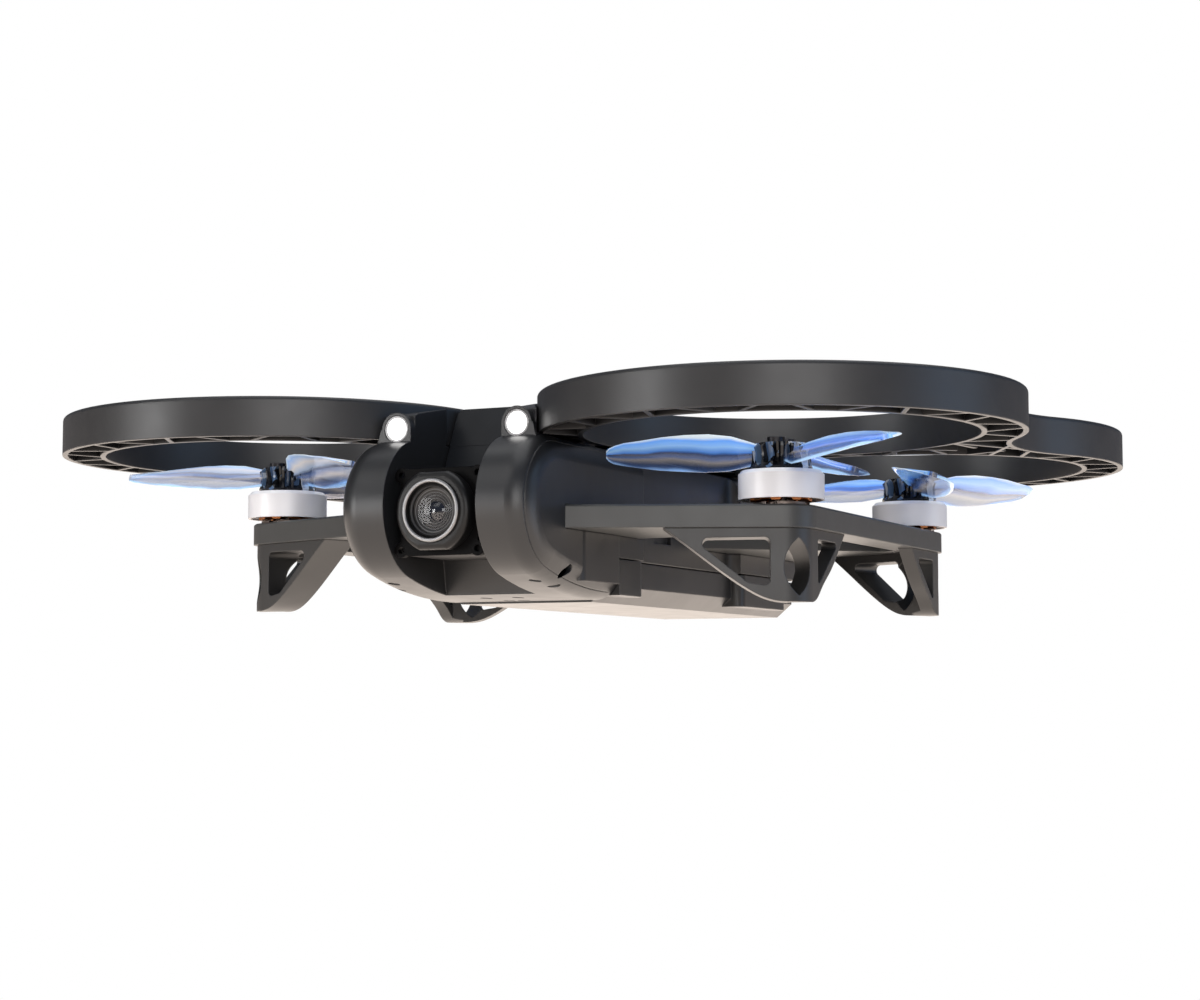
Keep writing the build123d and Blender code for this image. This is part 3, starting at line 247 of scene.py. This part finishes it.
# edge sets how much each plastic's edges are lightened as a painted highlight.
shell_black = plastic("shell_black", (0.014, 0.0148, 0.0168), 0.36, edge=1.5)
guard_black = plastic("guard_black", (0.017, 0.0176, 0.0195), 0.40, edge=2.0)
arm_grey = plastic("arm_grey", (0.040, 0.042, 0.042), 0.42, edge=1.8)
leg_grey = plastic("leg_grey", (0.018, 0.0185, 0.0195), 0.42, edge=2.6)
cover_black = plastic("cover_black", (0.010, 0.0115, 0.0145), 0.42, edge=1.6, spec=0.25)
battery_black = plastic("battery_black", (0.020, 0.0205, 0.022), 0.30, edge=2.0)
camera_black = plastic("camera_black", (0.004, 0.004, 0.0045), 0.45, edge=2.0, spec=0.2)
bracket_black = plastic("bracket_black", (0.0015, 0.0015, 0.0018), 0.5, edge=3.0, spec=0.06)
lens_black = plastic("lens_black", (0.007, 0.007, 0.0075), 0.36, edge=3.0, spec=0.25)
rubber_black = plastic("rubber_black", (0.012, 0.012, 0.012), 0.7, edge=1.3, grain=0.08)
bell_white = plastic("bell_white", (0.97, 0.96, 0.985), 0.32, edge=1.05, grain=0.01, radius=0.3 * MM)
steel = metal("steel", (0.55, 0.55, 0.57), 0.3)
screw_black = metal("screw_black", (0.05, 0.05, 0.055), 0.35)
lamination = metal("lamination", (0.3, 0.3, 0.31), 0.45, (1.0, 1.0, 12.0), grain=0.3)
copper = metal("copper", (0.42, 0.16, 0.06), 0.35, (1.0, 1.0, 9.0), grain=0.5)
magnet_grey = metal("magnet_grey", (0.5, 0.5, 0.53), 0.3)
aluminium = metal("aluminium", (0.66, 0.66, 0.68), 0.3, (1.0, 1.0, 6.0))
ring_silver = metal("ring_silver", (0.22, 0.22, 0.225), 0.38, (1.0, 12.0, 1.0))
base_dark = metal("base_dark", (0.12, 0.1, 0.09), 0.4)
board_green = board("board_green", (0.01, 0.045, 0.03))
board_black = board("board_black", (0.012, 0.012, 0.016))
ceramic = plastic("ceramic", (0.72, 0.7, 0.64), 0.3, edge=1.1)
cell_wrap = plastic("cell_wrap", (0.03, 0.06, 0.18), 0.22, edge=1.4)
light_glow = glowing("light_glow", (1.0, 0.99, 0.97), 2.2)
prop_clear = blade_with_painted_sheen("prop_clear", (0.10, 0.30, 0.85), (0.34, 0.62, 1.00), (0.16, 0.42, 0.95))
prop_pale_sheen = blade_with_painted_sheen("prop_pale_sheen", (0.42, 0.52, 0.70), (0.80, 0.76, 0.74), (0.40, 0.58, 0.90))
hub_painted_glints = faceted("hub_painted_glints")
lens_coat = coated("lens_coat", 0.12)
lens_deep = coated("lens_deep", 0.9)

by_node = {
    "antenna": ceramic,
    "arm_frame_left": arm_grey,
    "arm_frame_right": arm_grey,
    "battery_case": battery_black,
    "battery_cells": cell_wrap,
    "battery_latch_left": battery_black,
    "battery_latch_right": battery_black,
    "battery_lid": battery_black,
    "camera_board": board_green,
    "camera_bracket": bracket_black,
    "camera_housing": camera_black,
    "camera_pivots": steel,
    "chassis_plate": rubber_black,
    "flight_controller": board_black,
    "frame_screws": screw_black,
    "fuselage_shell": shell_black,
    "guard_screws": screw_black,
    "headlight_bezels": ring_silver,
    "headlight_boards": board_black,
    "headlight_lenses": light_glow,
    "leg_screws": screw_black,
    "lens_barrel": lens_black,
    "lens_glass": lens_coat,
    "lens_ring": ring_silver,
    "motor_bases": base_dark,
    "motor_bearings": steel,
    "motor_controller": board_green,
    "motor_screws": screw_black,
    "power_button": rubber_black,
    "prop_guard_left": guard_black,
    "prop_guard_right": guard_black,
    "stack_dampers": rubber_black,
    "stator_cores": lamination,
    "stator_windings": copper,
    "top_cover": cover_black,
    "video_transmitter": aluminium,
}
for corner in CORNERS:
    by_node["landing_leg_" + corner] = leg_grey
    by_node["motor_bell_" + corner] = bell_white
    by_node["motor_shaft_" + corner] = steel
    by_node["rotor_magnets_" + corner] = magnet_grey
    by_node["prop_screws_" + corner] = screw_black
    by_node["propeller_" + corner] = prop_clear

for name, node in nodes.items():
    node.data.materials.clear()
    node.data.materials.append(by_node[name])


def smooth(piece, limit=32):
    """Smooth shading with hard edges kept, without touching any vertex."""
    mesh = piece.data
    work = bmesh.new()
    work.from_mesh(mesh)
    for face in work.faces:
        face.smooth = True
    for edge in work.edges:
        if len(edge.link_faces) == 2:
            edge.smooth = edge.calc_face_angle(0.0) < math.radians(limit)
    work.to_mesh(mesh)
    work.free()


for node in nodes.values():
    smooth(node)


def centre_of(node):
    low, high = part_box(node)
    return (low + high) / 2


# ---- propellers --------------------------------------------------------------------------

REST_TURNS = {"front_right": 85.0, "front_left": 25.0, "rear_right": 115.0, "rear_left": 40.0}
HANDS = {"front_right": 1, "front_left": -1, "rear_right": -1, "rear_left": 1}
BLADE_COUNT = 3
BLADE_SECTIONS = (  # radius, chord, pitch in degrees, rise, all lengths in millimetres
    (4.0, 5.2, 40.0, 0.0),
    (7.0, 8.0, 37.0, 0.1),
    (11.0, 12.0, 33.0, 0.2),
    (16.0, 14.6, 28.5, 0.3),
    (21.0, 15.4, 25.0, 0.3),
    (26.0, 15.2, 22.0, 0.2),
    (30.5, 13.8, 19.0, 0.1),
    (34.0, 12.6, 16.5, 0.1),
    (36.0, 10.6, 15.0, 0.0),
    (37.1, 7.6, 14.5, 0.0),
    (37.7, 3.6, 14.0, 0.0),
)
BLADE_Z = 31.8
BLADE_THICK = 1.1
BLADE_TAPER = 0.55
BLADE_CAMBER = 1.6
RING_STEPS = 24

HUB_PROFILE = (  # radius and height in millimetres, from the foot of the bore, out and up
    (0.8, 28.32), (6.5, 28.32), (6.8, 29.0), (6.5, 29.8),
    (6.3, 32.0), (6.7, 33.2), (5.6, 34.2), (0.8, 34.2),
)
FLUTE_SPAN = (29.5, 33.5)
FLUTE_DEPTH = 0.80
FLUTES = 18
STEPS_PER_FLUTE = 4


def new_piece(name, work, material):
    bmesh.ops.recalc_face_normals(work, faces=work.faces)
    mesh = bpy.data.meshes.new(name)
    work.to_mesh(mesh)
    work.free()
    piece = bpy.data.objects.new(name, mesh)
    bpy.context.scene.collection.objects.link(piece)
    mesh.materials.append(material)
    smooth(piece, 40)
    return piece


def stitch_round(work, rings):
    """Closes rings of vertices, each a closed profile, into a turned surface."""
    for near, far in zip(rings, rings[1:] + rings[:1]):
        for i in range(len(near)):
            j = (i + 1) % len(near)
            work.faces.new((near[i], far[i], far[j], near[j]))


def blade_ring(radius, chord, pitch, rise):
    """Closed aerofoil section of a blade that points along +X."""
    ring = []
    turn = math.radians(pitch)
    for i in range(RING_STEPS):
        around = math.tau * i / RING_STEPS
        along = math.cos(around) / 2
        bulge = math.sin(around) * BLADE_THICK / 2 * (1 - BLADE_TAPER * along)
        camber = (0.25 - along * along) * BLADE_CAMBER
        y, z = along * chord, bulge + camber
        side = y * math.cos(turn) - z * math.sin(turn)
        lift = y * math.sin(turn) + z * math.cos(turn)
        ring.append((radius, side, BLADE_Z + rise + lift))
    return ring


def blade_into(work, turn, hand, across):
    """Adds one blade; across holds each vertex's place from trailing to leading edge."""
    spin = Matrix.Rotation(turn, 3, "Z")
    rings = []
    for section in BLADE_SECTIONS:
        ring = []
        for i, (x, y, z) in enumerate(blade_ring(*section)):
            corner = work.verts.new((spin @ Vector((x, y * hand, z))) * MM)
            corner[across] = 0.5 + 0.5 * math.cos(math.tau * i / RING_STEPS)
            ring.append(corner)
        rings.append(ring)
    for near, far in zip(rings, rings[1:]):
        for i in range(len(near)):
            j = (i + 1) % len(near)
            work.faces.new((near[i], near[j], far[j], far[i]))
    work.faces.new(rings[0])
    work.faces.new(rings[-1])


def blades(corner, material):
    """The blades of one propeller, turned to their resting angle."""
    hand = HANDS[corner]
    start = math.radians(REST_TURNS[corner] + (0 if hand > 0 else 180))
    work = bmesh.new()
    across = work.verts.layers.float.new("across")
    for i in range(BLADE_COUNT):
        blade_into(work, start + math.tau * i / BLADE_COUNT, hand, across)
    return new_piece("blades_" + corner, work, material)


def hub(corner):
    """A fluted core with a plain foot and rim."""
    work = bmesh.new()
    rings = []
    count = FLUTES * STEPS_PER_FLUTE
    for i in range(count):
        turn = math.tau * i / count
        flute = FLUTE_DEPTH if i % STEPS_PER_FLUTE < STEPS_PER_FLUTE / 2 else 1.0
        ring = []
        for radius, z in HUB_PROFILE:
            inner = radius * (flute if FLUTE_SPAN[0] < z < FLUTE_SPAN[1] else 1.0)
            point = Vector((inner * math.cos(turn), inner * math.sin(turn), z))
            ring.append(work.verts.new(point * MM))
        rings.append(ring)
    stitch_round(work, rings)
    return new_piece("hub_" + corner, work, hub_painted_glints)


for corner in CORNERS:
    axis = centre_of("motor_bell_" + corner)
    # The front-left blades get paler painted reflections than the others.
    pair = (blades(corner, prop_pale_sheen if corner == "front_left" else prop_clear), hub(corner))
    for piece in pair:
        piece.location = (axis.x, axis.y, 0)
        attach(piece, "rotor_" + corner)
    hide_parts("propeller_" + corner)

# ---- camera lens -------------------------------------------------------------------------

BAFFLE_PROFILE = (  # radius and depth behind the lens ring's face, in millimetres
    (5.6, 3.6), (5.6, 1.2), (5.2, 1.0), (4.9, 1.9), (4.0, 2.1), (2.1, 2.9), (2.1, 3.6),
)
NEAR_AXIS = 0.0001
FRONT_GLASS_PROFILE = (
    (NEAR_AXIS, 0.75), (1.2, 0.81), (2.3, 1.0), (3.4, 1.35), (4.3, 1.85), (4.3, 2.2), (NEAR_AXIS, 1.6),
)
REAR_GLASS_PROFILE = (
    (NEAR_AXIS, 2.5), (0.6, 2.54), (1.2, 2.67), (1.7, 2.87), (2.1, 3.1), (2.1, 3.6), (NEAR_AXIS, 3.6),
)
BAFFLE_RIDGE_PITCH = 0.62 * MM


def turned(name, profile, centre, material, steps=64):
    """A part turned about the lens's axis."""
    work = bmesh.new()
    rings = []
    for i in range(steps):
        turn = math.tau * i / steps
        ring = []
        for radius, y in profile:
            point = Vector((radius * math.cos(turn), y, radius * math.sin(turn)))
            ring.append(work.verts.new(centre + point * MM))
        rings.append(ring)
    stitch_round(work, rings)
    bmesh.ops.remove_doubles(work, verts=work.verts, dist=0.002 * MM)
    return new_piece(name, work, material)


ring_face = centre_of("lens_ring")
ring_face.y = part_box("lens_ring")[0].y
baffle_ribs = ribbed("lens_ribs", ring_face, BAFFLE_RIDGE_PITCH)
baffle = turned("lens_baffle", BAFFLE_PROFILE, ring_face, baffle_ribs)
front_glass = turned("lens_front_glass", FRONT_GLASS_PROFILE, ring_face, lens_coat)
rear_glass = turned("lens_rear_glass", REAR_GLASS_PROFILE, ring_face, lens_deep)
for piece, look in ((baffle, "lens_black"), (front_glass, "lens_glass"), (rear_glass, "lens_glass")):
    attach(piece, "camera")
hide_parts("lens_glass")

# ---- floor -------------------------------------------------------------------------------

FLOOR_Z = -0.30
FLOOR_REACH = 30
FLOOR_WARM = (0.80, 0.70, 0.62)
FLOOR_DIFFUSE_GLOW = 0.7
FLOOR_GLOSSY_GLOW = 2.6
FADE_TO_WHITE = (0.35, 1.0)


def floor_look():
    """Pale floor that fades to white far off, glows warm on the object and is clear from below."""
    made = Shader("floor_pale", Roughness=0.8)
    cloud = made.spread(made.noise(3.0), 0, 1)
    made.plug(made.mix(cloud, rgb((0.84, 0.83, 0.82)), rgb((0.87, 0.86, 0.85))), "Base Color")
    path = made.node("LightPath")
    reach = made.node("VectorMath", {0: made.place}, operation="LENGTH")
    far_off = made.spread(reach.outputs["Value"], 0.0, 1.0, FADE_TO_WHITE)
    white = made.node("Emission", {"Color": (1, 1, 1, 1), "Strength": 1.0})
    is_glossy = path.outputs["Is Glossy Ray"]
    glow = made.spread(is_glossy, FLOOR_DIFFUSE_GLOW, FLOOR_GLOSSY_GLOW, (0.0, 1.0))
    warm = made.node("Emission", {"Color": rgb(FLOOR_WARM), "Strength": glow})
    seen = made.node("MixShader", {0: far_off, 1: made.base.outputs[0], 2: white.outputs[0]})
    is_camera = path.outputs["Is Camera Ray"]
    above = made.node("MixShader", {0: is_camera, 1: warm.outputs[0], 2: seen.outputs[0]})
    below = made.node("NewGeometry").outputs["Backfacing"]
    clear = made.node("BsdfTransparent")
    shown = made.node("MixShader", {0: below, 1: above.outputs[0], 2: clear.outputs[0]})
    made.tree.links.new(shown.outputs[0], made.tree.nodes["Material Output"].inputs["Surface"])
    return made.material


floor_mesh = bpy.data.meshes.new("floor")
floor_turns = ((-1, -1), (1, -1), (1, 1), (-1, 1))
floor_corners = [(x * FLOOR_REACH, y * FLOOR_REACH, FLOOR_Z) for x, y in floor_turns]
floor_mesh.from_pydata(floor_corners, [], [(0, 1, 2, 3)])
floor = bpy.data.objects.new("floor", floor_mesh)
bpy.context.scene.collection.objects.link(floor)
floor_mesh.materials.append(floor_look())

# ---- studio light ------------------------------------------------------------------------

HEIGHT_STOPS = (  # from straight down to straight up
    (0.0, (0.7, 0.6, 0.52)),
    (0.48, (0.28, 0.26, 0.25)),
    (0.57, (0.14, 0.15, 0.175)),
    (1.0, (0.32, 0.33, 0.35)),
)
SIDE_STOPS = (  # from the left, -X, to the right, +X
    (0.0, (0.9, 0.88, 0.86)),
    (0.5, (0.8, 0.8, 0.82)),
    (1.0, (0.3, 0.45, 0.75)),
)
MIDDLE = (0, 0, 0.025)

world = bpy.data.worlds.new("studio")
bpy.context.scene.world = world
world.use_nodes = True
sky = world.node_tree


def sky_ramp(source, stops):
    """Colours that follow one part of the direction, from -1 to 1."""
    made = sky.nodes.new("ShaderNodeValToRGB")
    span = sky.nodes.new("ShaderNodeMapRange")
    span.inputs["From Min"].default_value = -1
    sky.links.new(source, span.inputs["Value"])
    sky.links.new(span.outputs["Result"], made.inputs["Fac"])
    fill_ramp(made, stops)
    return made.outputs["Color"]


def light_sky():
    """White to the camera; to all else a dim sky, product of a height ramp and a side ramp."""
    place = sky.nodes.new("ShaderNodeTexCoord")
    split = sky.nodes.new("ShaderNodeSeparateXYZ")
    sky.links.new(place.outputs["Generated"], split.inputs[0])
    blend = sky.nodes.new("ShaderNodeMix")
    blend.data_type = "RGBA"
    blend.blend_type = "MULTIPLY"
    blend.inputs[0].default_value = 1.0
    sky.links.new(sky_ramp(split.outputs["Z"], HEIGHT_STOPS), blend.inputs[6])
    sky.links.new(sky_ramp(split.outputs["X"], SIDE_STOPS), blend.inputs[7])
    dim = sky.nodes["Background"]
    dim.inputs["Strength"].default_value = 1.0
    sky.links.new(blend.outputs[2], dim.inputs["Color"])
    bright = sky.nodes.new("ShaderNodeBackground")
    bright.inputs["Color"].default_value = (1, 1, 1, 1)
    rays = sky.nodes.new("ShaderNodeLightPath")
    choose = sky.nodes.new("ShaderNodeMixShader")
    sky.links.new(rays.outputs["Is Camera Ray"], choose.inputs[0])
    sky.links.new(dim.outputs[0], choose.inputs[1])
    sky.links.new(bright.outputs[0], choose.inputs[2])
    sky.links.new(choose.outputs[0], sky.nodes["World Output"].inputs["Surface"])


def softbox(name, place, size, power, colour):
    """A rectangular lamp aimed at the middle of the object."""
    light = bpy.data.lights.new(name, "AREA")
    light.shape = "RECTANGLE"
    light.size, light.size_y = size
    light.energy = power
    light.color = colour
    lamp = bpy.data.objects.new(name, light)
    bpy.context.scene.collection.objects.link(lamp)
    lamp.location = place
    aim = Vector(MIDDLE) - Vector(place)
    lamp.rotation_euler = aim.to_track_quat("-Z", "Y").to_euler()


light_sky()
softbox("key", (-0.5, -0.9, 0.9), (0.9, 0.7), 2.5, (1.0, 0.98, 0.96))
softbox("front", (0.58, -1.05, 0.22), (0.7, 0.4), 4.8, (1.0, 0.99, 0.98))
softbox("top", (0.1, 0.1, 1.1), (1.2, 1.2), 6.0, (1.0, 1.0, 1.0))
softbox("side", (1.0, 0.15, 0.2), (0.6, 0.9), 2.2, (0.45, 0.68, 1.0))
softbox("catch", (-0.63, -0.80, 0.1), (0.30, 0.30), 3.0, (1.0, 1.0, 1.0))

# ---- camera ------------------------------------------------------------------------------

VIEW_AZIMUTH = math.radians(25.19)
VIEW_RISE = math.radians(4.875)
VIEW_AIM = Vector((0.000115, -0.004135, 0.027570))
VIEW_DISTANCE = 0.55
FOCAL_LENGTH = 67.68
SENSOR_WIDTH = 36.0

eye = bpy.data.cameras.new("camera")
eye.lens = FOCAL_LENGTH
eye.sensor_width = SENSOR_WIDTH
eye.clip_start = 0.01
eye.clip_end = 200.0
camera = bpy.data.objects.new("camera", eye)
bpy.context.scene.collection.objects.link(camera)
level = Vector((-math.sin(VIEW_AZIMUTH), math.cos(VIEW_AZIMUTH), 0))
forward = level * math.cos(VIEW_RISE) + Vector((0, 0, math.sin(VIEW_RISE)))
camera.location = VIEW_AIM - forward * VIEW_DISTANCE
camera.rotation_euler = forward.to_track_quat("-Z", "Y").to_euler()
bpy.context.scene.camera = camera
bpy.context.scene.view_settings.view_transform = "Standard"
